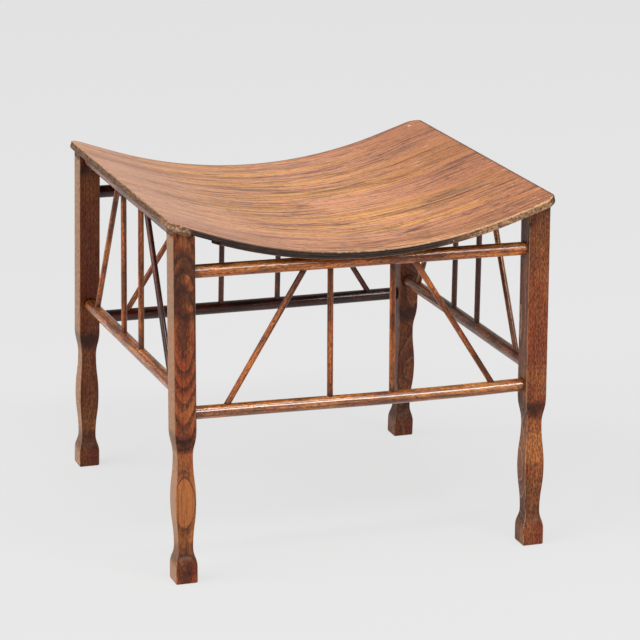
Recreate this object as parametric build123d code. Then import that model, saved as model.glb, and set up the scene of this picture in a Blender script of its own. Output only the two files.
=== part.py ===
from build123d import *
from math import asin, cos, degrees, radians, sin, sqrt, tan
import os

# A square stool with a saddle seat of bent plywood.
# Four square legs carry the seat at its corners. They are sawn to a curve on all
# four faces below the lower stretchers, and they lean in from front and back.
# Round stretchers join the legs in two tiers, and on each side four thin
# spindles, two upright and two raking, stand between the tiers.
# The origin is on the floor under the middle of the seat. X runs along the front
# from left to right, Y from front to back, Z up. All lengths are in millimetres.

# Legs
width_at_floor = 420.0
depth_at_floor = 422.0
leg_section = 24.0
leg_lean_degrees = 1.96
foot_block_height = 18.0
ankle_height = 38.5
bulge_height = 89.0
neck_height = 137.0
shoulder_height = 167.0
ankle_width = 16.6
bulge_width = 22.4
neck_width = 17.3
foot_chamfer = 1.2

# Stretchers along the front and back, stretchers and seat rails along the sides
rod_diameter = 14.5
rod_depth_in_leg = 14.0
cross_stretcher_height = 181.0
side_stretcher_height = 200.0
side_rod_inset = 0.8
rail_flat_depth = 2.7

# The sockets were bored by eye, so some rods have one end higher or lower
front_rods_left_rise = 2.2
left_stretcher_front_rise = 3.8
right_stretcher_back_drop = 1.5

# Spindles: an upright pair, and a raking pair from near their tops to near the legs
spindle_diameter = 6.5
cross_upright_spacing = 70.0
cross_rake_top_gap = 23.5
cross_rake_foot_from_leg = 33.0
cross_rake_tops_left_shift = 2.0
side_upright_spacing = 69.0
side_rake_top_gap = 20.5
side_rake_foot_from_leg = 29.5

# Seat
seat_middle_height = 348.0
seat_thickness = 8.5
seat_bend_radius = 515.0
seat_straight_end = 50.0
seat_side_overhang = 4.3
seat_front_overhang = 10.8
seat_corner_radius = 17.0

# Cut nails through the seat's corners into the tops of the legs
nail_head_width = 3.6
nail_head_thickness = 1.0
nail_neck_width = 2.6
nail_tip_width = 1.6
nail_plate_thickness = 2.4
nail_length = 22.0
nail_from_leg_centre = 6.0

# Fits
joint_clearance = 0.1
blind_end_gap = 0.5
seat_gap = 0.2
cut_overrun = 30.0

# Places that follow from the sizes above
lean = radians(leg_lean_degrees)
leg_x = (width_at_floor - leg_section) / 2
side_rod_x = leg_x - side_rod_inset
foot_y = (depth_at_floor - leg_section) / 2
seat_half_width = width_at_floor / 2 + seat_side_overhang
bend_half_width = seat_half_width - seat_straight_end
bend_angle = asin(bend_half_width / seat_bend_radius)


def seat_height(x, below):
    """Height of the seat's upper face at x, or of the layer that lies so far below it."""
    radius = seat_bend_radius + below
    reach = radius * sin(bend_angle)
    if abs(x) < reach:
        return seat_middle_height + seat_bend_radius - sqrt(radius * radius - x * x)
    rise = seat_bend_radius - radius * cos(bend_angle)
    return seat_middle_height + rise + (abs(x) - reach) * tan(bend_angle)


seat_underside_at_leg = seat_height(leg_x, seat_thickness)
leg_y_at_top = foot_y - seat_underside_at_leg * tan(lean)
seat_depth = 2 * leg_y_at_top + leg_section + 2 * seat_front_overhang
cross_rail_height = seat_middle_height - seat_thickness - seat_gap - rod_diameter / 2
seat_underside_at_rail = seat_height(side_rod_x, seat_thickness)
seat_rail_height = seat_underside_at_rail - (rod_diameter / 2 - rail_flat_depth) / cos(bend_angle)


def leg_y(height):
    """Distance of a leg's centre line from the middle plane at this height."""
    return foot_y - height * tan(lean)


def bar(start, end, diameter):
    """A round bar between two points."""
    axis = end - start
    place = Plane(origin=start, z_dir=axis)
    return place * Cylinder(diameter / 2, axis.length, align=(Align.CENTER, Align.CENTER, Align.MIN))


def seat_layer(below, extra):
    """The seat's curve at one depth in the sheet: a straight end, the bend, a straight end."""
    radius = seat_bend_radius + below
    centre_height = seat_middle_height + seat_bend_radius
    bend_x = radius * sin(bend_angle)
    bend_z = centre_height - radius * cos(bend_angle)
    straight = (seat_half_width - bend_half_width) / cos(bend_angle) + extra
    end_x = bend_x + straight * cos(bend_angle)
    end_z = bend_z + straight * sin(bend_angle)
    left_end = Line((-end_x, 0, end_z), (-bend_x, 0, bend_z))
    bend = ThreePointArc((-bend_x, 0, bend_z), (0, 0, centre_height - radius), (bend_x, 0, bend_z))
    right_end = Line((bend_x, 0, bend_z), (end_x, 0, end_z))
    return left_end + bend + right_end


def between_curves(lower, upper, depth):
    """A solid between two curves in the XZ plane, as deep as stated, about the middle plane."""
    left = Line(lower @ 0, upper @ 0)
    right = Line(lower @ 1, upper @ 1)
    outline = make_face(lower + right + upper + left)
    return extrude(outline, depth / 2, dir=(0, 1, 0), both=True)


def space_above_underside():
    """Everything above the seat's underside, to cut what carries the seat to its curve."""
    lower = seat_layer(seat_thickness, cut_overrun)
    ceiling = (lower @ 0).Z + cut_overrun
    start = lower @ 0
    end = lower @ 1
    upper = Line((start.X, 0, ceiling), (end.X, 0, ceiling))
    return between_curves(lower, upper, depth_at_floor + cut_overrun)


def saw_line(start, end):
    """One sweep of the saw: an S of two arcs that is upright at both ends."""
    middle = ((start[0] + end[0]) / 2, 0, (start[1] + end[1]) / 2)
    first = TangentArc((start[0], 0, start[1]), middle, tangent=(0, 0, 1))
    return first + TangentArc(middle, (end[0], 0, end[1]), tangent=first % 1)


def leg_saw_cut(top):
    """The leg's outline, as wide as the stock is thick, sawn through along Y."""
    half = leg_section / 2
    turns = [
        (half, foot_block_height),
        (ankle_width / 2, ankle_height),
        (bulge_width / 2, bulge_height),
        (neck_width / 2, neck_height),
        (half, shoulder_height),
    ]
    side = Line((half, 0, -cut_overrun), (half, 0, foot_block_height))
    for start, end in zip(turns, turns[1:]):
        side += saw_line(start, end)
    side += Line((half, 0, shoulder_height), (half, 0, top))
    other_side = mirror(side, Plane.YZ)
    foot = Line((-half, 0, -cut_overrun), (half, 0, -cut_overrun))
    head = Line((-half, 0, top), (half, 0, top))
    return extrude(make_face(side + head + other_side + foot), leg_section, dir=(0, 1, 0), both=True)


def upright_leg():
    """A straight leg, shaped by the same saw cut along Y and along X."""
    top = seat_height(seat_half_width, 0) + cut_overrun / 2
    cut = leg_saw_cut(top)
    return cut & (Rot(0, 0, 90) * cut)


def leg_blank(leg, side, end, space):
    """A leg in its place, cut level at the floor and to the seat's underside at the top."""
    leaning = Pos(side * leg_x, end * foot_y, 0) * Rot(end * leg_lean_degrees, 0, 0) * leg
    standing = split(leaning, bisect_by=Plane.XY, keep=Keep.TOP)
    sole_edges = standing.faces().sort_by(Axis.Z)[0].edges()
    return chamfer(sole_edges, foot_chamfer) - space


def cross_span(end, height, left_rise):
    """A front or back rod's centre line from leg centre to leg centre, and half a leg's width."""
    left_height = height + left_rise
    left = Vector(-leg_x, end * leg_y(left_height), left_height)
    right = Vector(leg_x, end * leg_y(height), height)
    return left, right, leg_section / 2


def side_span(side, front_height, back_height):
    """The same for a rod on the left or the right, where the legs lean."""
    x = side * side_rod_x
    front = Vector(x, -leg_y(front_height), front_height)
    back = Vector(x, leg_y(back_height), back_height)
    return front, back, leg_section / 2 / cos(lean)


def rod(span):
    """A stretcher or rail, which goes whole into the leg at each end."""
    start, end, half_leg = span
    inset = (end - start).normalized() * (half_leg - rod_depth_in_leg)
    return bar(start + inset, end - inset, rod_diameter)


def sockets(span):
    """The tool that bores the sockets for a rod in both of its legs."""
    start, end, half_leg = span
    inset = (end - start).normalized() * (half_leg - rod_depth_in_leg - blind_end_gap)
    return bar(start + inset, end - inset, rod_diameter + 2 * joint_clearance)


def spindle_lines(lower, upper, upright_spacing, rake_top_gap, rake_foot_from_leg, top_shift):
    """Centre lines of one side's four spindles, each from the lower rod up to the upper one."""
    start, end, half_leg = lower
    low_middle = (start + end) / 2
    low_direction = (end - start).normalized()
    high_middle = (upper[0] + upper[1]) / 2
    high_direction = (upper[1] - upper[0]).normalized()
    upright = upright_spacing / 2
    rake_top = upright + rake_top_gap
    rake_foot = (end - start).length / 2 - half_leg - rake_foot_from_leg
    places = [
        (-rake_foot, -rake_top - top_shift),
        (-upright, -upright),
        (upright, upright),
        (rake_foot, rake_top - top_shift),
    ]
    return [(low_middle + low_direction * foot, high_middle + high_direction * top) for foot, top in places]


def spindle_hole(line):
    """The tool that drills the blind holes for both ends of a spindle."""
    start, end = line
    past = (end - start).normalized() * blind_end_gap
    return bar(start - past, end + past, spindle_diameter + 2 * joint_clearance)


def nail(clearance):
    """A nail cut from plate, pointing down from the origin, or its hole when given a clearance."""
    head = nail_head_width / 2 + clearance
    neck = nail_neck_width / 2 + clearance
    tip = nail_tip_width / 2 + clearance
    under_head = -nail_head_thickness - clearance
    bottom = -nail_length - clearance
    outline = Polyline(
        (-head, 0, 0),
        (head, 0, 0),
        (head, 0, under_head),
        (neck, 0, under_head),
        (tip, 0, bottom),
        (-tip, 0, bottom),
        (-neck, 0, under_head),
        (-head, 0, under_head),
        close=True,
    )
    return extrude(make_face(outline), nail_plate_thickness / 2 + clearance, dir=(0, 1, 0), both=True)


def nail_place(side, end):
    """Where a nail's head lies flush in the seat, square to the sheet, outside the rail's end."""
    slope = side * degrees(bend_angle)
    y = end * (leg_y_at_top + nail_from_leg_centre)
    return Pos(side * leg_x, y, seat_height(leg_x, 0)) * Rot(0, -slope, 0)


def saddle_seat():
    """The bent sheet, with its corners rounded."""
    sheet = between_curves(seat_layer(seat_thickness, 0), seat_layer(0, 0), seat_depth)
    corners = sheet.edges().group_by(SortBy.LENGTH)[0]
    return fillet(corners, seat_corner_radius)


ends = {"front": -1, "back": 1}
sides = {"left": -1, "right": 1}
above_underside = space_above_underside()
parts = {}
bores = []

# The four sides of the frame: each one's lower and upper rod, the upper's name and the spindles
left_rises = {"front": front_rods_left_rise, "back": 0}
front_rises = {"left": left_stretcher_front_rise, "right": 0}
back_drops = {"left": 0, "right": right_stretcher_back_drop}
frame_sides = {}
for name, end in ends.items():
    lower = cross_span(end, cross_stretcher_height, left_rises[name])
    upper = cross_span(end, cross_rail_height, left_rises[name])
    places = (cross_upright_spacing, cross_rake_top_gap, cross_rake_foot_from_leg)
    lines = spindle_lines(lower, upper, *places, cross_rake_tops_left_shift)
    frame_sides[name] = (lower, upper, "upper_stretcher", lines)
for name, side in sides.items():
    front_height = side_stretcher_height + front_rises[name]
    lower = side_span(side, front_height, side_stretcher_height - back_drops[name])
    upper = side_span(side, seat_rail_height, seat_rail_height)
    places = (side_upright_spacing, side_rake_top_gap, side_rake_foot_from_leg)
    frame_sides[name] = (lower, upper, "seat_rail", spindle_lines(lower, upper, *places, 0))

for name, (lower, upper, upper_name, lines) in frame_sides.items():
    lower_rod = rod(lower)
    upper_rod = rod(upper) - above_underside
    for number, line in enumerate(lines, start=1):
        hole = spindle_hole(line)
        lower_rod -= hole
        upper_rod -= hole
        parts[f"{name}_spindle_{number}"] = bar(*line, spindle_diameter)
    parts[f"{name}_lower_stretcher"] = lower_rod
    parts[f"{name}_{upper_name}"] = upper_rod
    bores += [sockets(lower), sockets(upper)]

# The seat and its nails
seat = saddle_seat()
nails = []
for side in sides.values():
    for end in ends.values():
        place = nail_place(side, end)
        nails.append(place * nail(0))
        hole = place * nail(joint_clearance)
        seat -= hole
        bores.append(hole)
parts["saddle_seat"] = seat
parts["seat_nails"] = Compound(children=nails)

# The legs, bored for the rods and the nails
plain_leg = upright_leg()
for end_name, end in ends.items():
    for side_name, side in sides.items():
        leg = leg_blank(plain_leg, side, end, above_underside)
        for bore in bores:
            leg -= bore
        parts[f"{end_name}_{side_name}_leg"] = leg

os.makedirs("parts", exist_ok=True)
for name, shape in parts.items():
    export_step(shape, f"parts/{name}.step")
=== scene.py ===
import bmesh
import bpy
from math import asin, cos, pi, radians, sin, sqrt, tan
from mathutils import Matrix, Vector, noise


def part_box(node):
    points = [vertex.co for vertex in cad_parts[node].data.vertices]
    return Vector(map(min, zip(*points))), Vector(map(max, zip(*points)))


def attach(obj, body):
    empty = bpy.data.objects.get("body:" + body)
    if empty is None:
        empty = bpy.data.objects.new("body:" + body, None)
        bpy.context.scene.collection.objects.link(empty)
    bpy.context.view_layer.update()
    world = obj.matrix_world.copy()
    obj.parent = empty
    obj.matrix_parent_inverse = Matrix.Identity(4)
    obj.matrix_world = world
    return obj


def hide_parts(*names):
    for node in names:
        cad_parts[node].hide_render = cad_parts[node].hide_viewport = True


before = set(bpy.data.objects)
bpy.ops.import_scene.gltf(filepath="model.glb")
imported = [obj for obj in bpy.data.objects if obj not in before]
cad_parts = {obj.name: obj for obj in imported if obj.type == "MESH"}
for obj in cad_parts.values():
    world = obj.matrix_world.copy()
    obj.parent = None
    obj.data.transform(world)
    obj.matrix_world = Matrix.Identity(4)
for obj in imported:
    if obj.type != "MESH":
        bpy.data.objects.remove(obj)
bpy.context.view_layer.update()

# Camera
# The view is from the front and a little from the left, a good three metres off, through
# a long lens. Its place was fitted to the stool's edges.
def into_scene(name, data):
    """A new object in the scene, for a mesh, a lamp or a camera."""
    item = bpy.data.objects.new(name, data)
    bpy.context.scene.collection.objects.link(item)
    return item


camera = into_scene("camera", bpy.data.cameras.new("camera"))
camera.data.lens = 160.86
camera.data.sensor_width = 36
camera.data.clip_end = 100
camera_place = Vector((-1.01326, -2.90966, 1.10176))
camera_turn = -0.341528
camera_tip = 0.280055
camera_roll = 0.014945
camera.matrix_world = (
    Matrix.Translation(camera_place)
    @ Matrix.Rotation(camera_turn, 4, "Z")
    @ Matrix.Rotation(pi / 2 - camera_tip, 4, "X")
    @ Matrix.Rotation(camera_roll, 4, "Z")
)
bpy.context.scene.camera = camera
bpy.context.scene.view_settings.view_transform = "Standard"


# Studio
# A seamless pale grey floor under one very large soft light high on the left, a softbox
# overhead, a tall window in front, which shows in the polish alone, and pale walls.
def set_inputs(tree, node, inputs):
    """Sets a node's inputs to values, or links them to sockets."""
    for key, value in dict(inputs).items():
        if isinstance(value, bpy.types.NodeSocket):
            tree.links.new(value, node.inputs[key])
        else:
            node.inputs[key].default_value = value


def add_node(tree, kind, inputs=(), **settings):
    """A new node, with its settings made and its inputs set."""
    node = tree.nodes.new(kind)
    for name, value in settings.items():
        setattr(node, name, value)
    set_inputs(tree, node, inputs)
    return node


def tone(red, green, blue):
    """A colour from its everyday 0 to 255 values, as a shader takes it."""
    return tuple((level / 255) ** 2.2 for level in (red, green, blue)) + (1.0,)


floor_size = 24
floor_mesh = bmesh.new()
bmesh.ops.create_grid(floor_mesh, x_segments=1, y_segments=1, size=floor_size / 2)
floor_object = into_scene("studio_floor", bpy.data.meshes.new("studio_floor"))
floor_mesh.to_mesh(floor_object.data)
floor_mesh.free()
floor_paint = bpy.data.materials.new("floor paint")
floor_paint.use_nodes = True
floor_tree = floor_paint.node_tree
floor_spot = add_node(floor_tree, "ShaderNodeTexCoord").outputs["Object"]
floor_y = add_node(floor_tree, "ShaderNodeSeparateXYZ", {0: floor_spot}).outputs["Y"]
glow_range = {"Value": floor_y, "From Min": -0.4, "From Max": 3.2, "To Min": 0.68, "To Max": 0.662}
floor_look = {
    "Base Color": (0.11, 0.11, 0.11, 1),
    "Roughness": 1,
    "Specular IOR Level": 0,
    "Emission Color": add_node(floor_tree, "ShaderNodeMapRange", glow_range).outputs[0],
    "Emission Strength": 1,
}
set_inputs(floor_tree, floor_tree.nodes["Principled BSDF"], floor_look)
floor_object.data.materials.append(floor_paint)

room = bpy.data.worlds.new("room")
bpy.context.scene.world = room
room.use_nodes = True
room_tree = room.node_tree
seen_directly = add_node(room_tree, "ShaderNodeLightPath").outputs["Is Camera Ray"]
room_range = {"Value": seen_directly, "To Min": 0.42, "To Max": 0.78}
room_strength = add_node(room_tree, "ShaderNodeMapRange", room_range).outputs[0]
room_look = {"Color": (1, 1, 1, 1), "Strength": room_strength}
set_inputs(room_tree, room_tree.nodes["Background"], room_look)


def studio_light(name, kind, place, target, energy, **settings):
    """A lamp at a place, pointing at a target, and the object that holds it."""
    lamp = bpy.data.lights.new(name, kind)
    lamp.energy = energy
    for key, value in settings.items():
        setattr(lamp, key, value)
    holder = into_scene(name, lamp)
    aim = (Vector(target) - Vector(place)).to_track_quat("-Z", "Y")
    holder.matrix_world = Matrix.Translation(place) @ aim.to_matrix().to_4x4()
    return holder


stool_middle = (0, 0, 0.25)
studio_light("key light", "SUN", (-3.2, -0.5, 3.0), stool_middle, 2.1, angle=radians(50))
softbox_size = {"shape": "RECTANGLE", "size": 1.6, "size_y": 0.4}
studio_light("softbox", "AREA", (0.2, -1.3, 2.6), stool_middle, 34, **softbox_size)
window_size = {"shape": "RECTANGLE", "size": 2.2, "size_y": 1.7}
window = studio_light("window", "AREA", (1.5, -4.4, 3.1), stool_middle, 210, **window_size)
window.visible_diffuse = False


# Legs
# Four square posts of brown-stained oak, sawn to a curve on all four faces below the
# lower stretchers, which leaves a block as a foot. They lean in from front and back, are
# bored for the rods and cut at the top to the slope of the seat.
def calculate(tree, operation, *values):
    """The result of one step of arithmetic on sockets or numbers."""
    return add_node(tree, "ShaderNodeMath", enumerate(values), operation=operation).outputs[0]


def times(tree, *values):
    """The product of two sockets or numbers."""
    return calculate(tree, "MULTIPLY", *values)


def scaled(tree, value, factor, added):
    """A value times a factor, with something added."""
    return calculate(tree, "MULTIPLY_ADD", value, factor, added)


def fade(tree, value, low, high):
    """0 at low and 1 at high, with a smooth change in between."""
    inputs = {"Value": value, "From Min": low, "From Max": high}
    return add_node(tree, "ShaderNodeMapRange", inputs, interpolation_type="SMOOTHSTEP").outputs[0]


def lay_over(tree, share, under, over, mode="MIX"):
    """One colour over another, by a share from 0 to 1."""
    inputs = {0: share, 6: under, 7: over}
    return add_node(tree, "ShaderNodeMix", inputs, data_type="RGBA", blend_type=mode).outputs[2]


def stained(tree, wood, share, strength, colour):
    """The wood with a colour laid over a share of it, at some strength."""
    return lay_over(tree, times(tree, share, strength), wood, colour)


def noise_at(tree, grain, scale, detail, roughness=0.5):
    """Soft noise with so many features to the metre along each axis of the grain."""
    inputs = {0: grain, 1: scale}
    stretched = add_node(tree, "ShaderNodeVectorMath", inputs, operation="MULTIPLY").outputs[0]
    inputs = {"Vector": stretched, "Scale": 1.0, "Detail": detail, "Roughness": roughness}
    return add_node(tree, "ShaderNodeTexNoise", inputs).outputs[0]


def grain_noise(tree, grain, across, along, detail=2.0, roughness=0.5):
    """Soft noise with so many features to the metre across the grain and along it."""
    return noise_at(tree, grain, (across, across, along), detail, roughness)


def new_effect(name, inputs, outputs):
    """An empty node group: its tree, its input sockets and its output sockets."""
    tree = bpy.data.node_groups.new(name, "ShaderNodeTree")
    for socket in inputs:
        kind = "NodeSocketVector" if socket == "Grain" else "NodeSocketFloat"
        tree.interface.new_socket(socket, in_out="INPUT", socket_type=kind)
    for socket in outputs:
        tree.interface.new_socket(socket, in_out="OUTPUT", socket_type="NodeSocketFloat")
    return tree, tree.nodes.new("NodeGroupInput").outputs, tree.nodes.new("NodeGroupOutput").inputs


def growth_rings():
    """Ring-porous wood: each ring starts with a band of pores and ends in smooth late wood."""
    pith = ("Pith X", "Pith Y", "Cross curve", "Turn", "Sway", "Sway length")
    inputs = ("Grain", *pith, "Ring width", "Wander")
    tree, given, made = new_effect("growth rings", inputs, ("Pore band", "Ring edge", "Ring tint"))
    place = add_node(tree, "ShaderNodeSeparateXYZ", {0: given["Grain"]}).outputs
    beyond_turn = calculate(tree, "SUBTRACT", place["Z"], given["Turn"])
    turns_away = calculate(tree, "DIVIDE", beyond_turn, given["Sway length"])
    turns_away = calculate(tree, "MAXIMUM", calculate(tree, "MINIMUM", turns_away, 0.5), -0.5)
    swing = calculate(tree, "COSINE", times(tree, turns_away, 2 * pi))
    half_wave = scaled(tree, swing, -0.5, 0.5)
    across = calculate(tree, "SUBTRACT", place["X"], given["Pith X"])
    across = times(tree, across, given["Cross curve"])
    depth = calculate(tree, "SUBTRACT", place["Y"], given["Pith Y"])
    depth = scaled(tree, half_wave, given["Sway"], depth)
    squares = [calculate(tree, "POWER", length, 2) for length in (across, depth)]
    radius = calculate(tree, "SQRT", calculate(tree, "ADD", *squares))
    wander = calculate(tree, "SUBTRACT", grain_noise(tree, given["Grain"], 26, 17, 3), 0.5)
    stronger = scaled(tree, fade(tree, place["Z"], 0.13, 0.22), 1.2, 1.0)
    wander = times(tree, wander, stronger)
    distance = scaled(tree, wander, given["Wander"], radius)
    rings = calculate(tree, "DIVIDE", distance, given["Ring width"])
    phase = calculate(tree, "FRACT", rings)
    tree.links.new(fade(tree, phase, 0.55, 0.10), made["Pore band"])
    tree.links.new(fade(tree, phase, 0.84, 0.93), made["Ring edge"])
    count = {"W": calculate(tree, "FLOOR", rings)}
    tint = add_node(tree, "ShaderNodeTexWhiteNoise", count, noise_dimensions="1D").outputs[0]
    tree.links.new(tint, made["Ring tint"])
    return tree


def open_pores():
    """Short dark dashes along the grain, more of them as Fill drops."""
    tree, given, made = new_effect("open pores", ("Grain", "Across", "Along", "Fill"), ("Pores",))
    scales = {0: given["Across"], 1: given["Across"], 2: given["Along"]}
    scale = add_node(tree, "ShaderNodeCombineXYZ", scales).outputs[0]
    dashes = noise_at(tree, given["Grain"], scale, 3.0, 0.6)
    upper = calculate(tree, "ADD", given["Fill"], 0.12)
    tree.links.new(fade(tree, dashes, given["Fill"], upper), made["Pores"])
    return tree


def worn_patches():
    """Wear that covers more as the piece's own wear value rises, in patches."""
    tree, given, made = new_effect("worn patches", ("Grain", "Wear", "Patch size"), ("Worn",))
    density = calculate(tree, "DIVIDE", 1.0, given["Patch size"])
    scale = {0: given["Grain"], "Scale": density}
    spread = add_node(tree, "ShaderNodeVectorMath", scale, operation="SCALE").outputs[0]
    inputs = {"Vector": spread, "Scale": 1.0, "Detail": 4.0, "Roughness": 0.65}
    patches = add_node(tree, "ShaderNodeTexNoise", inputs).outputs[0]
    coverage = scaled(tree, given["Wear"], 0.52, patches)
    tree.links.new(fade(tree, coverage, 0.72, 0.84), made["Worn"])
    return tree


rings_effect = growth_rings()
pores_effect = open_pores()
wear_effect = worn_patches()


def new_material(name):
    """A material's tree, its shader, and where each point lies in the straight, unbent wood."""
    material = bpy.data.materials.new(name)
    material.use_nodes = True
    tree = material.node_tree
    place = add_node(tree, "ShaderNodeAttribute", attribute_name="grain")
    return material, tree, tree.nodes["Principled BSDF"], place.outputs["Vector"]


def wear_and_painted_light_value(tree):
    """The value stored at each vertex: wear and grime on the legs and seat, painted shade near the
    ends of the rods and spindles, and the painted glint on one nail.
    """
    return add_node(tree, "ShaderNodeAttribute", attribute_name="wear").outputs["Fac"]


def wear_of(tree, grain, patch_size):
    """Where the wear value of the piece and the patches meet."""
    inputs = {"Grain": grain, "Wear": wear_and_painted_light_value(tree), "Patch size": patch_size}
    return add_node(tree, "ShaderNodeGroup", inputs, node_tree=wear_effect).outputs["Worn"]


def pores_of(tree, grain, across, along, fill):
    """Open pores with so many to the metre across the grain and along it."""
    inputs = {"Grain": grain, "Across": across, "Along": along, "Fill": fill}
    return add_node(tree, "ShaderNodeGroup", inputs, node_tree=pores_effect).outputs["Pores"]


def add_relief(tree, shader, height, strength, distance):
    """Fine relief from a height, such as sunk pores."""
    inputs = {"Height": height, "Strength": strength, "Distance": distance}
    set_inputs(tree, shader, {"Normal": add_node(tree, "ShaderNodeBump", inputs).outputs[0]})


def speckled(tree, grain, colour, amount):
    """A colour broken up into lighter and darker specks, drawn out along the grain."""
    specks = fade(tree, grain_noise(tree, grain, 760, 240, 2, 0.7), 0.37, 0.63)
    light = scaled(tree, specks, 2 * amount, 1 - amount)
    return lay_over(tree, 1.0, colour, light, "MULTIPLY")


leg_gold = tone(182, 108, 58)
leg_red = tone(150, 70, 38)
leg_dark = tone(48, 24, 16)
leg_stripe = tone(176, 126, 88)
leg_bare = tone(196, 146, 104)
leg_painted_sheen = tone(164, 121, 90)
ankle = (0.033, 0.016)
shoulder = (0.155, 0.014)


def near_height(tree, height, middle, reach):
    """1 at a height on the leg and 0 further from it than the reach."""
    away = calculate(tree, "ABSOLUTE", calculate(tree, "SUBTRACT", height, middle))
    return fade(tree, away, reach, reach * 0.5)


def leg_wood(
    name,
    rings,
    bands,
    line_colour,
    darkness,
    left_face_painted_tone,
    left_face_painted_share,
    stains_and_shade,
    heart,
    left_stripes=0,
    clear_heart=0,
    bareness=0.25,
    specks=0.45,
):
    """Stained oak, with the figure that its pith's place gives on each face, painted shade in its
    hollows, below its shoulder and under the seat, a painted sheen on the left face of the left legs
    and painted shade on that of the right legs.
    """
    material, tree, shader, grain = new_material(name)
    made = add_node(tree, "ShaderNodeGroup", {"Grain": grain, **rings}, node_tree=rings_effect).outputs
    pores = pores_of(tree, grain, 640, 210, 0.44)
    place = add_node(tree, "ShaderNodeSeparateXYZ", {0: grain}).outputs
    height = place["Z"]
    blotches = fade(tree, grain_noise(tree, grain, 45, 22, 3), 0.36, 0.64)
    wood = lay_over(tree, blotches, leg_gold, leg_red)
    wood = stained(tree, wood, made["Ring tint"], 0.45, leg_red)
    pale = near_height(tree, height, *heart)
    wood = lay_over(tree, pale, wood, leg_gold)
    streaks = fade(tree, grain_noise(tree, grain, 420, 14, 2), 0.44, 0.66)
    wood = stained(tree, wood, streaks, 0.35, leg_dark)
    mottle = scaled(tree, pores, 0.5, 0.5)
    band = times(tree, times(tree, made["Pore band"], mottle), bands)
    band = times(tree, band, calculate(tree, "SUBTRACT", 1.0, pale))
    wood = lay_over(tree, band, wood, leg_dark)
    wood = stained(tree, wood, made["Ring edge"], 0.85 * bands, line_colour)
    clouds = fade(tree, grain_noise(tree, grain, 70, 60, 3), 0.30, 0.55)
    # Darker bands at listed heights: those on the slope just below the shoulder and at the top of the
    # legs, under the seat, are painted shade; the others darken the wood at their heights.
    for middle, reach, strength in stains_and_shade:
        stain_and_shade = times(tree, near_height(tree, height, middle, reach), strength)
        wood = stained(tree, wood, stain_and_shade, clouds, leg_dark)
    wood = lay_over(tree, darkness, wood, leg_dark)
    # The left face gets a colour laid over it: a pale haze on the left legs as a painted sheen, and
    # dark on the right legs as painted shade.
    right_of_corner = calculate(tree, "ADD", place["X"], calculate(tree, "ABSOLUTE", place["Y"]))
    left_face = fade(tree, right_of_corner, 0.0006, -0.0006)
    wood = stained(tree, wood, left_face, left_face_painted_share, left_face_painted_tone)
    stripes = times(tree, made["Ring edge"], left_face)
    wood = stained(tree, wood, stripes, left_stripes, leg_stripe)
    # The hollows at the ankle and at the shoulder are darkened as painted shade.
    in_hollow = [near_height(tree, height, *hollow) for hollow in (ankle, shoulder)]
    hollow_shade = scaled(tree, clouds, 0.45, 0.10)
    wood = stained(tree, wood, calculate(tree, "MAXIMUM", *in_hollow), hollow_shade, leg_dark)
    wood = stained(tree, speckled(tree, grain, wood, specks), pale, clear_heart, wood)
    wood = stained(tree, wood, wear_of(tree, grain, 0.006), bareness, leg_bare)
    look = {
        "Base Color": wood,
        "Roughness": scaled(tree, band, 0.20, 0.42),
        "Specular IOR Level": 0.22,
        "Sheen Weight": 0.14,
        "Sheen Roughness": 0.35,
        "Sheen Tint": (1.0, 0.72, 0.52, 1),
    }
    set_inputs(tree, shader, look)
    sunk = times(tree, calculate(tree, "ADD", band, pores), -0.7)
    add_relief(tree, shader, sunk, 0.5, 0.0004)
    return material


def make_piece(name, mesh, materials, slot, *nodes):
    """A shown piece on the stool's one body, with crisp corners, in place of CAD nodes."""
    piece = into_scene(name, mesh)
    for material in materials:
        mesh.materials.append(material)
    mesh.shade_smooth()
    mesh.set_sharp_from_angle(angle=radians(38))
    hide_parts(*nodes)
    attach(piece, "root")
    return piece


def mesh_from(shape, name):
    """The finished shape as a mesh, with its normals outward."""
    bmesh.ops.recalc_face_normals(shape, faces=shape.faces)
    mesh = bpy.data.meshes.new(name)
    shape.to_mesh(mesh)
    shape.free()
    return mesh


def keep_grain(mesh, places):
    """Stores where each vertex lies in the straight, unbent wood."""
    layer = mesh.attributes.new("grain", "FLOAT_VECTOR", "POINT")
    layer.data.foreach_set("vector", [value for place in places for value in place])


def keep_wear_and_painted_light(mesh, values):
    """Stores a value at each vertex: wear and grime on the legs and seat, painted shade near the ends
    of the rods and spindles, and the painted glint on one nail.
    """
    mesh.attributes.new("wear", "FLOAT", "POINT").data.foreach_set("value", values)


leg_low, leg_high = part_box("front_right_leg")
leg_section = leg_high.x - leg_low.x
leg_x = (leg_high.x + leg_low.x) / 2
leg_lean = radians(1.96)
foot_y = -leg_low.y - leg_section / 2 / cos(leg_lean)
turns = (
    (0.018, leg_section),
    (0.0385, 0.0166),
    (0.089, 0.0224),
    (0.137, 0.0173),
    (0.167, leg_section),
)
arris_round = 0.0010
arris_from = 0.93
arris_blend = 0.025
level_step = 0.003
post_overrun = 0.010
dent_spread = 90
dent_depth = 0.0012


def leg_width(height):
    """Width of a leg at a height: each stretch between two turns is an S of two arcs."""
    if height <= turns[0][0] or height >= turns[-1][0]:
        return leg_section
    for (low, low_width), (high, high_width) in zip(turns, turns[1:]):
        if height <= high:
            share = (height - low) / (high - low)
            rise = 2 * share**2 if share < 0.5 else 1 - 2 * (1 - share) ** 2
            return low_width + (high_width - low_width) * rise


def only(items, kind):
    """The items of one kind, such as corners, among those given."""
    return [item for item in items if isinstance(item, kind)]


def raise_face(shape, face, height):
    """Extrudes a shape's end face upward, and gives its corners and the new end face."""
    grown = bmesh.ops.extrude_face_region(shape, geom=face)["geom"]
    corners = only(grown, bmesh.types.BMVert)
    bmesh.ops.translate(shape, vec=(0, 0, height), verts=corners)
    return corners, only(grown, bmesh.types.BMFace)


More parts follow.
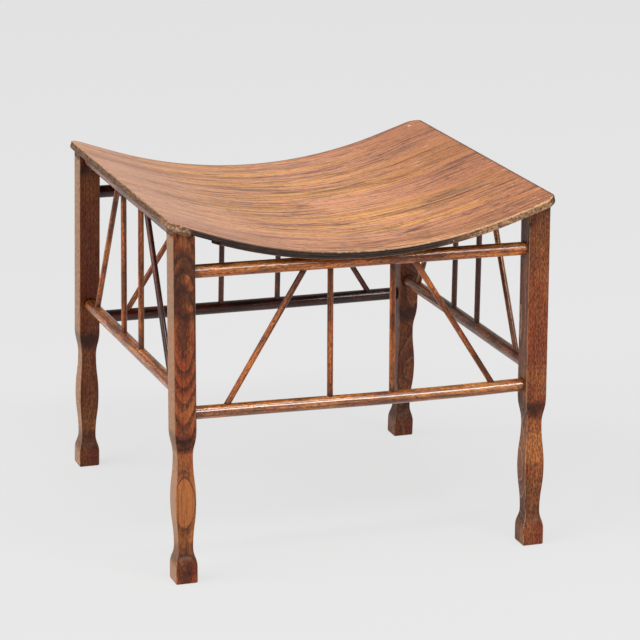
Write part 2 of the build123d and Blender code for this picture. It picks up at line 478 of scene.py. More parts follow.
def square_post(top):
    """A long square post with rounded arrises, as wide at each height as a leg."""
    post = bmesh.new()
    bmesh.ops.create_grid(post, x_segments=1, y_segments=1, size=leg_section / 2)
    arrises = {"geom": post.verts[:], "affect": "VERTICES"}
    bmesh.ops.bevel(post, offset=arris_round, segments=3, profile=0.5, **arrises)
    bmesh.ops.translate(post, vec=(0, 0, -2 * level_step), verts=post.verts)
    face = post.faces[:]
    width = leg_section
    for level in range(-1, int(top / level_step)):
        corners, face = raise_face(post, face, level_step)
        next_width = leg_width(level * level_step)
        bmesh.ops.scale(post, vec=(next_width / width, next_width / width, 1), verts=corners)
        width = next_width
    return post


def arris_share(place):
    """1 on a leg's arris and 0 on its flats, for a place in the upright post."""
    inner = min(abs(place.x), abs(place.y)) / (leg_width(place.z) / 2)
    return min(1, max(0, (inner - arris_from) / arris_blend))


def slice_at(shape, place, direction, **settings):
    """Cuts every face of a shape where it crosses a plane."""
    everything = shape.verts[:] + shape.edges[:] + shape.faces[:]
    plane = {"plane_co": place, "plane_no": direction}
    bmesh.ops.bisect_plane(shape, geom=everything, **plane, **settings)


def cut_off(shape, place, direction):
    """Cuts away what lies beyond a plane and closes the cut."""
    slice_at(shape, place, direction, clear_outer=True)
    bmesh.ops.holes_fill(shape, edges=[edge for edge in shape.edges if edge.is_boundary], sides=0)


def turn_along(axis):
    """The turn that lays an upright thing along an axis."""
    return axis.to_track_quat("Z", "Y").to_matrix().to_4x4()


def rod_line(node, across):
    """Both ends of a rod's centre line, from its CAD node, the left or front one first."""
    low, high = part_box(node)
    rise = first_end_rises.get(node, 0)
    middle = (low + high) / 2
    middle.z = low.z + (rod_diameter + abs(rise)) / 2
    step = Vector((0, 0, -rise / 2))
    step[across] = (high[across] - low[across]) / 2
    return middle - step, middle + step


sole_round = 0.0022
sole_steps = 5
weld_distance = 1e-5


def round_sole(post, stand):
    """Rounds the edge between a foot's sole and its sides."""
    for step in range(1, sole_steps + 1):
        slice_at(post, (0, 0, sole_round * step / sole_steps), (0, 0, 1), dist=weld_distance)
    for corner in post.verts:
        short = min(sole_round, max(0, sole_round - corner.co.z))
        inset = sole_round - sqrt(sole_round**2 - short**2)
        place = stand.inverted() @ corner.co
        place.xy *= 1 - inset * 2 / leg_section
        corner.co.xy = (stand @ place).xy


rod_low, rod_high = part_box("back_lower_stretcher")
rod_diameter = rod_high.z - rod_low.z
first_end_rises = {
    "front_lower_stretcher": 0.0022,
    "front_upper_stretcher": 0.0022,
    "left_lower_stretcher": 0.0038,
    "right_lower_stretcher": 0.0015,
}
socket_room = 0.0005
upper_names = {
    "front": "upper_stretcher",
    "back": "upper_stretcher",
    "left": "seat_rail",
    "right": "seat_rail",
}
rods = {}
for side, upper_name in upper_names.items():
    across = 0 if side in ("front", "back") else 1
    for tier in ("lower_stretcher", upper_name):
        rods[f"{side}_{tier}"] = rod_line(f"{side}_{tier}", across)

seat_bend_radius = 0.515
bend_half_width = 0.1643
seat_bend_angle = asin(bend_half_width / seat_bend_radius)
seat_middle_height = 0.348
seat_thickness = 0.0085
near_leg = 0.200


def bent(along, depth):
    """Where a point of the flat blank comes to lie in the bent seat, as x and z."""
    arc = seat_bend_radius * seat_bend_angle
    straight = max(0, abs(along) - arc)
    angle = min(abs(along), arc) / seat_bend_radius
    radius = seat_bend_radius + depth
    x = radius * sin(angle) + straight * cos(seat_bend_angle)
    z = seat_middle_height + seat_bend_radius - radius * cos(angle) + straight * sin(seat_bend_angle)
    return (x if along >= 0 else -x), z


def cut_to_seat(shape, side):
    """Cuts the top of a leg or a rail to the slope of the seat above it."""
    x, z = bent(near_leg, seat_thickness)
    slope = Vector((-side * sin(seat_bend_angle), 0, cos(seat_bend_angle)))
    cut_off(shape, (side * x, 0, z), slope)


def tree_rings(pith_x, pith_y, curve, turn, sway, sway_length, ring_width, wander):
    """Where a leg was cut from the tree: the pith's place and how the trunk swayed past it."""
    return {
        "Pith X": pith_x,
        "Pith Y": pith_y,
        "Cross curve": curve,
        "Turn": turn,
        "Sway": sway,
        "Sway length": sway_length,
        "Ring width": ring_width,
        "Wander": wander,
    }


# Each leg's dark bands are given as height, reach and strength; those near 0.15 m and those near the
# top are painted shade.
leg_looks = {
    "front_left": {
        "rings": tree_rings(-0.0015, -0.06081, 1.35, 0.275, 0.0120, 0.28, 0.00235, 0.0016),
        "bands": 0.8,
        "line_colour": leg_dark,
        "darkness": 0.05,
        "left_face_painted_tone": leg_painted_sheen,
        "left_face_painted_share": 0.80,
        "stains_and_shade": ((0.318, 0.045, 0.8), (0.151, 0.010, 0.7), (0.355, 0.012, 0.5), (0.020, 0.014, 0.5)),
        "heart": (0.091, 0.034),
        "clear_heart": 0.7,
        "specks": 0.28,
    },
    "front_right": {
        "rings": tree_rings(-0.075, 0.008, 1.0, 0.200, 0.004, 0.50, 0.0019, 0.0020),
        "bands": 0.55,
        "line_colour": leg_stripe,
        "darkness": 0.20,
        "left_face_painted_tone": leg_dark,
        "left_face_painted_share": 0.45,
        "left_stripes": 0.5,
        "stains_and_shade": ((0.360, 0.060, 0.35), (0.152, 0.012, 0.6), (0.060, 0.022, 0.4)),
        "heart": (0.112, 0.026),
        "bareness": 0.45,
        "specks": 0.5,
    },
    "back_left": {
        "rings": tree_rings(0.060, 0.030, 1.0, 0.150, 0.006, 0.60, 0.0018, 0.0020),
        "bands": 0.5,
        "line_colour": leg_dark,
        "darkness": 0.55,
        "left_face_painted_tone": leg_painted_sheen,
        "left_face_painted_share": 0.80,
        "stains_and_shade": ((0.158, 0.012, 0.7), (0.374, 0.024, 0.85)),
        "heart": (0.050, 0.010),
    },
    "back_right": {
        "rings": tree_rings(0.010, -0.070, 1.0, 0.420, 0.020, 0.60, 0.0022, 0.0030),
        "bands": 0.6,
        "line_colour": leg_stripe,
        "darkness": 0.60,
        "left_face_painted_tone": leg_dark,
        "left_face_painted_share": 0.3,
        "left_stripes": 0.4,
        "stains_and_shade": ((0.158, 0.012, 0.7),),
        "heart": (0.050, 0.010),
    },
}
drills = bmesh.new()
drill_radius = rod_diameter / 2 + socket_room
for start, finish in rods.values():
    place = Matrix.Translation((start + finish) / 2) @ turn_along(finish - start)
    drill = {"radius1": drill_radius, "radius2": drill_radius, "depth": (finish - start).length}
    bmesh.ops.create_cone(drills, cap_ends=True, segments=40, matrix=place, **drill)
drill_object = into_scene("drills", mesh_from(drills, "drills"))
for end_name, end in (("front", -1), ("back", 1)):
    for side_name, side in (("left", -1), ("right", 1)):
        name = f"{end_name}_{side_name}"
        foot = Matrix.Translation((side * leg_x, end * foot_y, 0))
        stand = foot @ Matrix.Rotation(end * leg_lean, 4, "X")
        post = square_post(leg_high.z + post_overrun)
        for corner in post.verts:
            bruise = noise.noise(corner.co * dent_spread + Vector((side, end, 0)) * 7)
            dent = max(0, bruise - 0.15) * dent_depth
            corner.co.xy *= 1 - arris_share(corner.co) * dent / leg_section * 2
        bmesh.ops.transform(post, matrix=stand, verts=post.verts)
        cut_off(post, (0, 0, 0), (0, 0, -1))
        round_sole(post, stand)
        cut_to_seat(post, side)
        leg = into_scene(f"{name}_blank", mesh_from(post, f"{name}_blank"))
        bore = leg.modifiers.new("bore", "BOOLEAN")
        bore.object = drill_object
        bore.operation = "DIFFERENCE"
        bore.solver = "EXACT"
        bpy.context.view_layer.update()
        evaluated = leg.evaluated_get(bpy.context.evaluated_depsgraph_get())
        bored = bpy.data.meshes.new_from_object(evaluated)
        bpy.data.objects.remove(leg)
        bored.name = f"{name}_leg_wood"
        places = [stand.inverted() @ corner.co for corner in bored.vertices]
        keep_grain(bored, places)
        keep_wear_and_painted_light(bored, [arris_share(place) for place in places])
        wood = leg_wood(f"{name} leg wood", **leg_looks[name])
        leg = make_piece(f"{name}_leg_worn", bored, [wood], "leg_wood", f"{name}_leg")
        leg.modifiers.new("flat faces", "WEIGHTED_NORMAL").keep_sharp = True
bpy.data.objects.remove(drill_object)

# Stretchers and seat rails
# Round rods of one size, planed and scraped by hand, so none is quite straight or quite
# round. They run from leg to leg and are polished darker than the seat.
rod_level_step = 0.006
rod_waviness = 0.025
shade_from = 0.001
shade_reach = 0.007
rod_flats = 120
rod_waves = 14
rod_gold = (206, 131, 64)
rod_brown = (136, 70, 36)
rod_dark = (52, 26, 16)


def rod_wood(name, gold, brown, dark, blotch_share, gloss):
    """Polished rod in three everyday tones, streaked and flecked, with painted shade next to where it
    goes into its holes.
    """
    material, tree, shader, grain = new_material(name)
    dark = tone(*dark)
    streaks = fade(tree, grain_noise(tree, grain, 300, 11, 3), 0.36, 0.62)
    wood = lay_over(tree, streaks, tone(*gold), tone(*brown))
    blotches = fade(tree, grain_noise(tree, grain, 90, 26, 3), 0.46, 0.62)
    wood = stained(tree, wood, blotches, blotch_share, dark)
    pores = pores_of(tree, grain, 620, 190, 0.53)
    wood = stained(tree, wood, pores, 0.75, dark)
    wood = speckled(tree, grain, wood, 0.34)
    # Darker next to the ends, where they go into holes: painted shade.
    wood = stained(tree, wood, wear_and_painted_light_value(tree), 0.75, dark)
    scuffs = grain_noise(tree, grain, 300, 60, 3)
    look = {
        "Base Color": wood,
        "Roughness": scaled(tree, scuffs, 0.30, 0.16),
        "Specular IOR Level": 0.22,
        "Coat Roughness": 0.12,
        "Coat Weight": gloss,
    }
    set_inputs(tree, shader, look)
    height = scaled(tree, pores, -0.5, times(tree, scuffs, 0.8))
    add_relief(tree, shader, height, 0.5, 0.0004)
    return material


def ramp(value, low, high):
    """0 below low and 1 above high, straight in between."""
    return min(1, max(0, (value - low) / (high - low)))


def shade_near_ends(places, length, covered):
    """Painted shade just outside the covered part of each end of a rod."""
    offset = min(place.z for place in places)
    from_end = [min(place.z - offset, length + offset - place.z) for place in places]
    clean_from = covered + shade_reach
    return [1 - ramp(distance, covered + shade_from, clean_from) for distance in from_end]


def scraped_rod(name, start, end, radius, covered, seed, sag=Vector((0, 0, 0))):
    """A rod's mesh with slight flats and waves, its ends fixed and its middle moved by a sag."""
    axis = end - start
    levels = round(axis.length / rod_level_step)
    rod = bmesh.new()
    bmesh.ops.create_circle(rod, cap_ends=True, segments=28, radius=radius)
    face = rod.faces[:]
    for _ in range(levels):
        face = raise_face(rod, face, axis.length / levels)[1]
    for corner in rod.verts:
        x, y, z = corner.co
        wave = noise.noise(Vector((x * rod_flats, y * rod_flats, z * rod_waves + seed * 5.3)))
        corner.co.xy *= 1 - rod_waviness * (0.5 + wave)
    places = [corner.co + Vector((0, 0, seed * 0.61)) for corner in rod.verts]
    place = Matrix.Translation(start) @ turn_along(axis)
    lengths = [corner.co.z / axis.length for corner in rod.verts]
    bmesh.ops.transform(rod, matrix=place, verts=rod.verts)
    for corner, share in zip(rod.verts, lengths):
        corner.co += sag * sin(pi * share**1.5)
    mesh = mesh_from(rod, name)
    keep_grain(mesh, places)
    keep_wear_and_painted_light(mesh, shade_near_ends(places, axis.length, covered))
    return mesh


rod_finish = rod_wood("rod wood", rod_gold, rod_brown, rod_dark, 0.50, 0.85)
upper_rod_finish = rod_wood("upper rod wood", (234, 142, 70), (160, 80, 36), rod_dark, 0.50, 0.35)
side_rod_finish = rod_wood("side rod wood", (204, 124, 62), (118, 60, 28), rod_dark, 0.55, 0.4)
dark_rod_finish = rod_wood("dark rod wood", (92, 44, 30), (52, 26, 22), (28, 14, 12), 0.6, 0.3)
rail_finish = rod_wood("rail wood", (168, 104, 66), (96, 52, 34), (34, 20, 16), 0.6, 0.3)
rod_finishes = {
    "front_lower_stretcher": rod_finish,
    "front_upper_stretcher": upper_rod_finish,
    "back_lower_stretcher": dark_rod_finish,
    "back_upper_stretcher": dark_rod_finish,
    "left_lower_stretcher": side_rod_finish,
    "right_lower_stretcher": rail_finish,
    "left_seat_rail": rail_finish,
    "right_seat_rail": rail_finish,
}
rod_depth_in_leg = 0.014
rod_sags = {
    "front_lower_stretcher": Vector((0, 0, -0.0019)),
    "back_lower_stretcher": Vector((0, 0.0008, -0.0008)),
    "left_lower_stretcher": Vector((0.0005, 0, -0.0006)),
    "right_lower_stretcher": Vector((-0.0004, 0, 0.0006)),
}
for seed, (name, (start, end)) in enumerate(rods.items()):
    sag = rod_sags.get(name, Vector((0, 0, 0)))
    mesh = scraped_rod(f"{name}_wood", start, end, rod_diameter / 2, rod_depth_in_leg, seed, sag)
    if name.endswith("seat_rail"):
        side = -1 if name.startswith("left") else 1
        shape = bmesh.new()
        shape.from_mesh(mesh)
        cut_to_seat(shape, side)
        shape.to_mesh(mesh)
        shape.free()
    make_piece(f"{name}_scraped", mesh, [rod_finishes[name]], "rod_wood", name)

# Spindles
# Sixteen thin rods, four to a side. The two in the middle stand upright, and the outer
# two rake from near them down towards the legs. Each end sits in a hole in a rod.
spindle_diameter = 0.0065
spindle_gold = (190, 108, 56)
spindle_brown = (118, 60, 32)
spindle_finish = rod_wood("spindle wood", spindle_gold, spindle_brown, rod_dark, 0.6, 0.2)
# A lighter copy of the wood on the front spindle at the right is painted light. A darker copy is
# painted shade on the back spindles and the two upright ones on the right, and is the dark wood of the
# front spindle at the left.
painted_lit_spindle_finish = rod_wood("painted lit spindle wood", rod_gold, rod_brown, rod_dark, 0.4, 0.4)
dark_and_shaded_spindle_finish = rod_wood("dark spindle wood", (110, 58, 40), (66, 34, 26), rod_dark, 0.6, 0.3)
spindle_finishes = {"right_spindle_1": painted_lit_spindle_finish}
for side, numbers in {"back": (2, 3, 4), "left": (1,), "right": (2, 3)}.items():
    for number in numbers:
        spindle_finishes[f"{side}_spindle_{number}"] = dark_and_shaded_spindle_finish
front_layout = {"upright spacing": 0.070, "top gap": 0.0235, "foot gap": 0.033, "left shift": 0.002}
side_layout = {"upright spacing": 0.069, "top gap": 0.0205, "foot gap": 0.0295, "left shift": 0}
for order, side in enumerate(("front", "back", "left", "right")):
    lower_start, lower_end = rods[f"{side}_lower_stretcher"]
    upper_start, upper_end = rods[f"{side}_{upper_names[side]}"]
    low_direction = (lower_end - lower_start).normalized()
    high_direction = (upper_end - upper_start).normalized()
    layout = front_layout if side in ("front", "back") else side_layout
    upright = layout["upright spacing"] / 2
    rake_top = upright + layout["top gap"]
    rake_foot = (lower_end - lower_start).length / 2 - rod_depth_in_leg - layout["foot gap"]
    offsets = (
        (-rake_foot, -rake_top - layout["left shift"]),
        (-upright, -upright),
        (upright, upright),
        (rake_foot, rake_top - layout["left shift"]),
    )
    for number, (foot, top) in enumerate(offsets, start=1):
        start = (lower_start + lower_end) / 2 + low_direction * foot
        end = (upper_start + upper_end) / 2 + high_direction * top
        name = f"{side}_spindle_{number}"
        seed = order * 4 + number + 20
        mesh = scraped_rod(f"{name}_wood", start, end, spindle_diameter / 2, rod_diameter / 2, seed)
        finish = spindle_finishes.get(name, spindle_finish)
        make_piece(f"{name}_scraped", mesh, [finish], "spindle_wood", name)

# Seat
# A sheet of plywood bent to a saddle and faced with open-grained veneer that runs from
# left to right. Its edges are rubbed, and its front left corner is frayed and splintered.
seat_low, seat_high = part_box("saddle_seat")
seat_straight_end = 0.050
blank_half_length = seat_bend_radius * seat_bend_angle + seat_straight_end / cos(seat_bend_angle)
blank_half_depth = (seat_high.y - seat_low.y) / 2
corner_round = 0.017
seat_painted_sheen = tone(222, 168, 140)
seat_tan = tone(226, 156, 116)
seat_gold = tone(240, 170, 92)
seat_rose = tone(198, 135, 104)
seat_brown = tone(160, 96, 60)
seat_line = tone(84, 46, 32)
seat_green = tone(104, 84, 64)
ply_dark = tone(42, 29, 24)
ply_brown = tone(134, 98, 74)
ply_gold = tone(206, 152, 102)
ply_cream = tone(232, 186, 136)
ply_bare = tone(194, 150, 110)
tongue_along = 0.070
tongue_across = -0.156
tongue_slant = 0.42
tongue_half_length = 0.030
tongue_half_width = 0.0050


def contour_lines(tree, grain, across, along, thickness):
    """Thin wavy lines along the grain, that branch and close as growth rings do on a face."""
    hills = grain_noise(tree, grain, across, along, 3, 0.55)
    from_line = calculate(tree, "ABSOLUTE", calculate(tree, "SUBTRACT", hills, 0.5))
    return fade(tree, from_line, thickness, thickness * 0.2)


def figure_lines(tree, grain):
    """Bold lines here and there and thin ones in patches, all of them broken into dashes."""
    dashes = pores_of(tree, grain, 420, 60, 0.40)
    broken = scaled(tree, dashes, 0.35, 0.65)
    presence = fade(tree, grain_noise(tree, grain, 24, 5, 2), 0.36, 0.56)
    bold = times(tree, contour_lines(tree, grain, 70, 2.4, 0.030), presence)
    patches = fade(tree, grain_noise(tree, grain, 14, 5, 2), 0.38, 0.58)
    figured = scaled(tree, patches, 0.7, 0.3)
    thin = times(tree, contour_lines(tree, grain, 230, 6.0, 0.040), figured)
    return times(tree, calculate(tree, "MAXIMUM", bold, thin), broken)


def dark_tongue(tree, grain, place):
    """A ragged dark tongue in the figure, near the middle of the front edge."""
    past = calculate(tree, "SUBTRACT", place["Z"], tongue_along)
    off = scaled(tree, past, -tongue_slant, place["X"])
    off = calculate(tree, "SUBTRACT", off, tongue_across)
    lengthwise = calculate(tree, "POWER", calculate(tree, "DIVIDE", past, tongue_half_length), 2)
    crosswise = calculate(tree, "POWER", calculate(tree, "DIVIDE", off, tongue_half_width), 2)
    distance = calculate(tree, "SQRT", calculate(tree, "ADD", lengthwise, crosswise))
    ragged = times(tree, grain_noise(tree, grain, 260, 40, 3), 1.4)
    return fade(tree, calculate(tree, "ADD", distance, ragged), 1.9, 0.9)


def veneer():
    """Satin veneer with golden and brown bands, dark wavy lines and short pores, and a painted sheen
    towards the left end.
    """
    material, tree, shader, grain = new_material("seat veneer")
    place = add_node(tree, "ShaderNodeSeparateXYZ", {0: grain}).outputs
    waves = calculate(tree, "SUBTRACT", grain_noise(tree, grain, 9, 4, 2), 0.5)
    sideways = add_node(tree, "ShaderNodeCombineXYZ", {0: times(tree, waves, 0.030)}).outputs[0]
    wavy = {0: grain, 1: sideways}
    grain = add_node(tree, "ShaderNodeVectorMath", wavy, operation="ADD").outputs[0]
    bands = fade(tree, grain_noise(tree, grain, 36, 1.8, 3), 0.44, 0.58)
    wood = lay_over(tree, bands, seat_tan, seat_gold)
    # Towards the left end a pale pink is laid over the wood and its dark lines are faded: a painted
    # sheen.
    leftward_sheen = fade(tree, place["Z"], -0.03, -0.20)
    wood = stained(tree, wood, leftward_sheen, 0.72, seat_painted_sheen)
    frontward = fade(tree, place["X"], -0.12, -0.20)
    wood = stained(tree, wood, frontward, 0.6, seat_rose)
    rightward = fade(tree, place["Z"], 0.0, 0.22)
    wood = stained(tree, wood, rightward, 0.76, seat_brown)
    brown = fade(tree, grain_noise(tree, grain, 40, 2.2, 3), 0.52, 0.66)
    wood = stained(tree, wood, brown, 0.42, seat_brown)
    fine = fade(tree, grain_noise(tree, grain, 300, 5.5, 3), 0.44, 0.62)
    wood = stained(tree, wood, fine, 0.38, seat_brown)
    # The lines grow fainter under the painted sheen at the left.
    lines_fainter_under_sheen = scaled(tree, leftward_sheen, -0.66, 1.0)
    lines = times(tree, figure_lines(tree, grain), lines_fainter_under_sheen)
    wood = stained(tree, wood, lines, 0.92, seat_line)
    pores = pores_of(tree, grain, 620, 95, 0.54)
    wood = stained(tree, wood, pores, 0.70, seat_line)
    wood = stained(tree, wood, dark_tongue(tree, grain, place), 0.75, seat_line)
    smears = fade(tree, grain_noise(tree, grain, 70, 10, 3), 0.61, 0.69)
    wood = stained(tree, wood, smears, 0.7, seat_green)
    scuffs = fade(tree, grain_noise(tree, grain, 150, 34, 3), 0.60, 0.72)
    scuffs = times(tree, scuffs, fade(tree, place["Z"], -0.02, 0.10))
    wood = stained(tree, wood, scuffs, 0.45, ply_cream)
    wood = speckled(tree, grain, wood, 0.14)
    dark_rim = fade(tree, wear_and_painted_light_value(tree), -0.05, -0.8)
    wood = lay_over(tree, dark_rim, wood, seat_line)
    wood = lay_over(tree, wear_of(tree, grain, 0.005), wood, ply_cream)
    roughness = scaled(tree, grain_noise(tree, grain, 40, 20, 3), 0.20, 0.27)
    look = {"Base Color": wood, "Roughness": roughness, "Specular IOR Level": 0.5}
    set_inputs(tree, shader, look)
    height = times(tree, calculate(tree, "ADD", lines, pores), -0.5)
    add_relief(tree, shader, height, 0.3, 0.0003)
    return material


def ply_edge():
    """The sheet's edge: dark stained plies, gone golden where they are rubbed, with the right side
    darkened partly as painted shade.
    """
    material, tree, shader, grain = new_material("ply edge")
    layers = noise_at(tree, grain, (90, 900, 90), 3.0)
    along = add_node(tree, "ShaderNodeSeparateXYZ", {0: grain}).outputs["Z"]
    left_end = fade(tree, along, -0.208, -0.214)
    right_end = fade(tree, along, 0.09, 0.14)
    browned = calculate(tree, "MAXIMUM", right_end, times(tree, left_end, 1.1))
    wood = stained(tree, ply_dark, browned, 0.22, ply_brown)
    frayed = fade(tree, wear_and_painted_light_value(tree), 0.05, 0.40)
    wood = stained(tree, wood, frayed, 0.55, ply_brown)
    rubbed_ends = calculate(tree, "MAXIMUM", left_end, right_end)
    brown_share = scaled(tree, rubbed_ends, 0.75, 0.12)
    wood = stained(tree, wood, fade(tree, layers, 0.46, 0.57), brown_share, ply_brown)
    gold_plies = times(tree, fade(tree, layers, 0.54, 0.61), right_end)
    wood = stained(tree, wood, gold_plies, 0.85, ply_gold)
    wood = stained(tree, wood, wear_of(tree, grain, 0.004), 0.8, ply_bare)
    # The right side edge is darkened: partly its unworn stain, partly painted shade.
    right_side = fade(tree, along, 0.2085, 0.2150)
    wood = stained(tree, wood, right_side, 0.8, ply_dark)
    look = {"Base Color": wood, "Roughness": 0.55, "Specular IOR Level": 0.2}
    set_inputs(tree, shader, look)
    add_relief(tree, shader, layers, 0.5, 0.0004)
    return material


def underside():
    """The back veneer, stained dark and never polished."""
    material, tree, shader, grain = new_material("seat underside")
    streaks = fade(tree, grain_noise(tree, grain, 200, 6, 3), 0.35, 0.65)
    wood = lay_over(tree, streaks, tone(78, 48, 32), tone(48, 30, 22))
    look = {"Base Color": wood, "Roughness": 0.65, "Specular IOR Level": 0.2}
    set_inputs(tree, shader, look)
    return material


# The flat blank: its top face trimmed round at the corners, and a copy of it underneath.
blank = bmesh.new()
bmesh.ops.create_grid(blank, x_segments=100, y_segments=94, size=1)
bmesh.ops.scale(blank, vec=(blank_half_length, blank_half_depth, 1), verts=blank.verts)
splinter_tip = -0.1728
splinter_root = -0.1632
splinter_steps = 5
for step in range(splinter_steps + 1):
    along = splinter_tip + (splinter_root - splinter_tip) * step / splinter_steps
    slice_at(blank, (along, 0, 0), (1, 0, 0), dist=weld_distance)
corner_cuts = 6
for side, end in ((-1, -1), (-1, 1), (1, -1), (1, 1)):
    centre_x = side * (blank_half_length - corner_round)
    centre_y = end * (blank_half_depth - corner_round)
    for cut in range(1, corner_cuts):
        turn = cut * pi / 2 / corner_cuts
        direction = Vector((side * sin(turn), end * cos(turn), 0))
        place = Vector((centre_x, centre_y, 0)) + direction * corner_round
        slice_at(blank, place, direction, clear_outer=True, dist=weld_distance)
top_faces = blank.faces[:]
bottom = bmesh.ops.duplicate(blank, geom=blank.verts[:] + blank.edges[:] + blank.faces[:])["geom"]
bottom_faces = only(bottom, bmesh.types.BMFace)
bmesh.ops.translate(blank, vec=(0, 0, -seat_thickness), verts=only(bottom, bmesh.types.BMVert))
bmesh.ops.reverse_faces(blank, faces=bottom_faces)
for face in bottom_faces:
    face.material_index = 2
rim_inset = 0.0008
bmesh.ops.inset_region(blank, faces=top_faces, thickness=rim_inset, use_even_offset=True)


def plan_key(corner):
    """A corner's place on the flat blank, which is the same at all levels of the edge."""
    return round(corner.co.x, 6), round(corner.co.y, 6)


rim_edges = [edge for edge in blank.edges if edge.is_boundary and edge.verts[0].co.z > -1e-4]
outward = {}
for edge in rim_edges:
    middle = (edge.verts[0].co + edge.verts[1].co) / 2
    inside = edge.link_faces[0].calc_center_median()
    direction = (edge.verts[1].co - edge.verts[0].co).normalized().cross(Vector((0, 0, 1)))
    if direction.dot(middle - inside) < 0:
        direction = -direction
    for corner in edge.verts:
        key = plan_key(corner)
        outward[key] = outward.get(key, Vector((0, 0, 0))) + direction

# Each level of the edge is a share of the sheet's thickness and how far it is recessed:
# the plies stand out and the glue lines between them lie back.
edge_levels = {
    0.12: 0.0,
    0.16: 0.0,
    0.28: 0.00005,
    0.34: 0.0004,
    0.40: 0.0001,
    0.62: 0.0002,
    0.68: 0.0005,
    0.74: 0.0001,
    0.88: 0.0010,
    1.0: 0.0026,
}
level_edges = rim_edges
last_depth = 0
for share in edge_levels:
    grown = bmesh.ops.extrude_edge_only(blank, edges=level_edges)["geom"]
    level_corners = only(grown, bmesh.types.BMVert)
    level_edges = only(grown, bmesh.types.BMEdge)
    for face in only(grown, bmesh.types.BMFace):
        face.material_index = 1
    depth = share * seat_thickness
    bmesh.ops.translate(blank, vec=(0, 0, last_depth - depth), verts=level_corners)
    last_depth = depth
bmesh.ops.remove_doubles(blank, verts=blank.verts, dist=2 * weld_distance)
bmesh.ops.recalc_face_normals(blank, faces=blank.faces)

# Wear: the right and back rims are dark from handling, the other arrises are rubbed to bare
# wood, and round the front left corner the edge is frayed, its lowest ply is lost and one
# splinter of it still hangs on. Shares are counted down through the sheet's thickness.
rim_reach = 0.0015
rim_darkness = -0.7
arris_recess = 0.0006
arris_share_of_sheet = 0.12
edge_ripple = 0.00025
fray_up_side = 0.052
fray_along_front = 0.026
fray_depth = 0.0018
fray_unevenness = 0.0016
fray_splinters = 0.0010
fray_bareness = 0.41
lost_ply_from = -0.196
lost_ply_reach = 0.014
lost_ply_share = 0.70
loose_ply_share = 0.86
loose_ply_sag = 0.04
loose_ply_recess = 0.0030
splinter_root_recess = 0.0002
splinter_tip_recess = 0.0012
grain_places = []
wear_values = []
recesses = {0.0: arris_recess, **edge_levels}
for corner in blank.verts:
    along, across, depth = corner.co.x, corner.co.y, -corner.co.z
    share = depth / seat_thickness
    key = plan_key(corner)
    level = min(recesses, key=lambda other: abs(other - share))
    on_right = along > blank_half_length - rim_reach
    on_back = across > blank_half_depth - rim_reach
    handled = depth == 0 and (on_right or on_back)
    wear = rim_darkness if handled else 0.0
    ply_lost = lost_ply_from < along < splinter_root
    if ply_lost and share > 0.99 and across < -blank_half_depth + lost_ply_reach:
        depth = lost_ply_share * seat_thickness
    if key in outward:
        direction = outward[key].normalized()
        ripple = noise.noise(Vector((along, across, depth * 3)) * 240)
        splinters = noise.noise(Vector((along * 420, across * 420, depth * 500)))
        rough = noise.noise(Vector((along * 130, across * 130, 4)))
        inward = recesses[level] + edge_ripple * (1 + ripple)
        on_front = across < -blank_half_depth + corner_round / 2
        on_left = along < -blank_half_length + corner_round / 2
        fray = ramp(across + blank_half_depth, fray_up_side, fray_up_side * 0.75)
        fray *= ramp(along + blank_half_length, fray_along_front, fray_along_front * 0.75)
        broken = 1 - 0.7 * ramp(share, 0.30, 0.70)
        frayed = fray_depth + fray_unevenness * rough + fray_splinters * splinters
        inward += fray * broken * max(0, frayed)
        if on_front and ply_lost and share > lost_ply_share:
            left_of_root = ramp(along, splinter_root, splinter_tip)
            if along < splinter_tip + 1e-4:
                depth = lost_ply_share * seat_thickness
            elif share < 0.95:
                depth = (loose_ply_share + loose_ply_sag * left_of_root) * seat_thickness
                inward += loose_ply_recess
            else:
                depth = seat_thickness
                inward = splinter_root_recess + splinter_tip_recess * left_of_root
        rubbed_face = 0.1 if on_left else 0.15
        rubbed_arris = 0.55 if on_left else 0.25
        if on_front:
            rubbed_face = 0.85 if level == 1.0 else 0.5 * ramp(along, 0.06, 0.13)
            rubbed_arris = 0.25 + 0.5 * ramp(along, -0.09, 0.06)
        if not handled:
            on_arris = level <= arris_share_of_sheet
            wear = max(rubbed_arris if on_arris else rubbed_face, fray_bareness * fray)
        corner.co -= direction * inward
    x, z = bent(corner.co.x, depth)
    grain_places.append(Vector((across, -depth, along)))
    wear_values.append(wear)
    corner.co = Vector((x, corner.co.y, z))

seat_mesh = bpy.data.meshes.new("saddle_seat_ply")
blank.to_mesh(seat_mesh)
blank.free()
keep_grain(seat_mesh, grain_places)
keep_wear_and_painted_light(seat_mesh, wear_values)
seat_finishes = [veneer(), ply_edge(), underside()]
make_piece("saddle_seat_veneered", seat_mesh, seat_finishes, "seat_veneer", "saddle_seat")

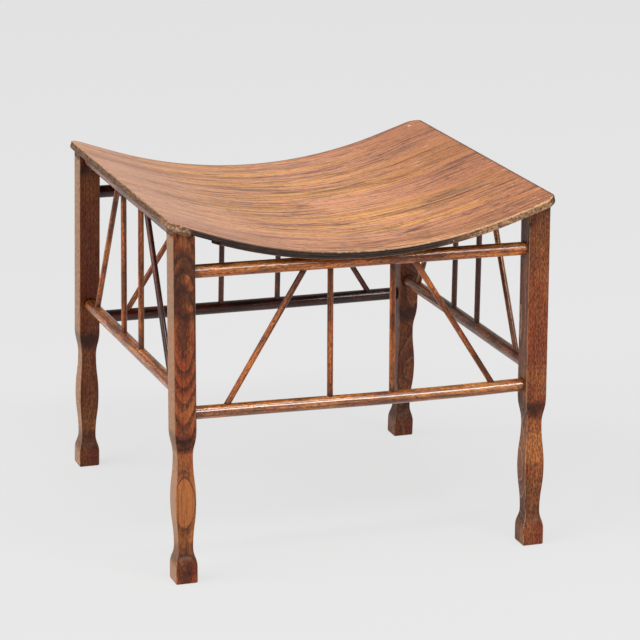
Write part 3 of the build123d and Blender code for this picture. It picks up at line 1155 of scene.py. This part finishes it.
# Nails
# One cut nail at each corner holds the seat down to a leg. The heads are flush and
# tarnished, and the one at the back right is painted near white as a glint.
nail_finish = bpy.data.materials.new("nail metal")
nail_finish.use_nodes = True
nail_tree = nail_finish.node_tree
nail_spot = add_node(nail_tree, "ShaderNodeTexCoord").outputs["Object"]
tarnish_inputs = {"Vector": nail_spot, "Scale": 900.0, "Detail": 3.0}
tarnish = add_node(nail_tree, "ShaderNodeTexNoise", tarnish_inputs)
tarnish_share = fade(nail_tree, tarnish.outputs[0], 0.40, 0.56)
nail_colour = lay_over(nail_tree, wear_and_painted_light_value(nail_tree), tone(190, 150, 118), tone(250, 246, 240))
nail_colour = stained(nail_tree, nail_colour, tarnish_share, 0.45, tone(120, 90, 70))
nail_roughness = scaled(nail_tree, tarnish_share, 0.3, 0.3)
nail_look = {"Base Color": nail_colour, "Roughness": nail_roughness, "Metallic": 0.4}
set_inputs(nail_tree, nail_tree.nodes["Principled BSDF"], nail_look)
nail_from_leg_centre = 0.006
nail_y = foot_y - (seat_high.z - seat_thickness) * tan(leg_lean) + nail_from_leg_centre
bend_end_x = seat_bend_radius * sin(seat_bend_angle)
nail_along = seat_bend_radius * seat_bend_angle + (leg_x - bend_end_x) / cos(seat_bend_angle)
nail_plate_thickness = 0.0024
nail_edge_round = 0.00025
nail_head = (0.0036, 0.0002, -0.0010)
nail_shank = (0.0021, -0.0010, -0.0215)
nails = bmesh.new()
for side in (-1, 1):
    for end in (-1, 1):
        x, z = bent(side * nail_along, 0)
        tilt = Matrix.Rotation(-side * seat_bend_angle, 4, "Y")
        place = Matrix.Translation((x, end * nail_y, z)) @ tilt
        for width, top, bottom in (nail_head, nail_shank):
            middle = Matrix.Translation((0, 0, (top + bottom) / 2))
            size = Matrix.Diagonal((width, nail_plate_thickness, top - bottom, 1))
            bmesh.ops.create_cube(nails, size=1, matrix=place @ middle @ size)
rounding = {"offset": nail_edge_round, "segments": 2, "profile": 0.5}
bmesh.ops.bevel(nails, geom=nails.edges[:], affect="EDGES", **rounding)
nail_mesh = mesh_from(nails, "seat_nails_metal")
# The back right nail head is painted near white: a painted glint.
back_right = [float(corner.co.x > 0 and corner.co.y > 0) for corner in nail_mesh.vertices]
keep_wear_and_painted_light(nail_mesh, back_right)
make_piece("seat_nails_painted_glint", nail_mesh, [nail_finish], "nail_metal", "seat_nails")
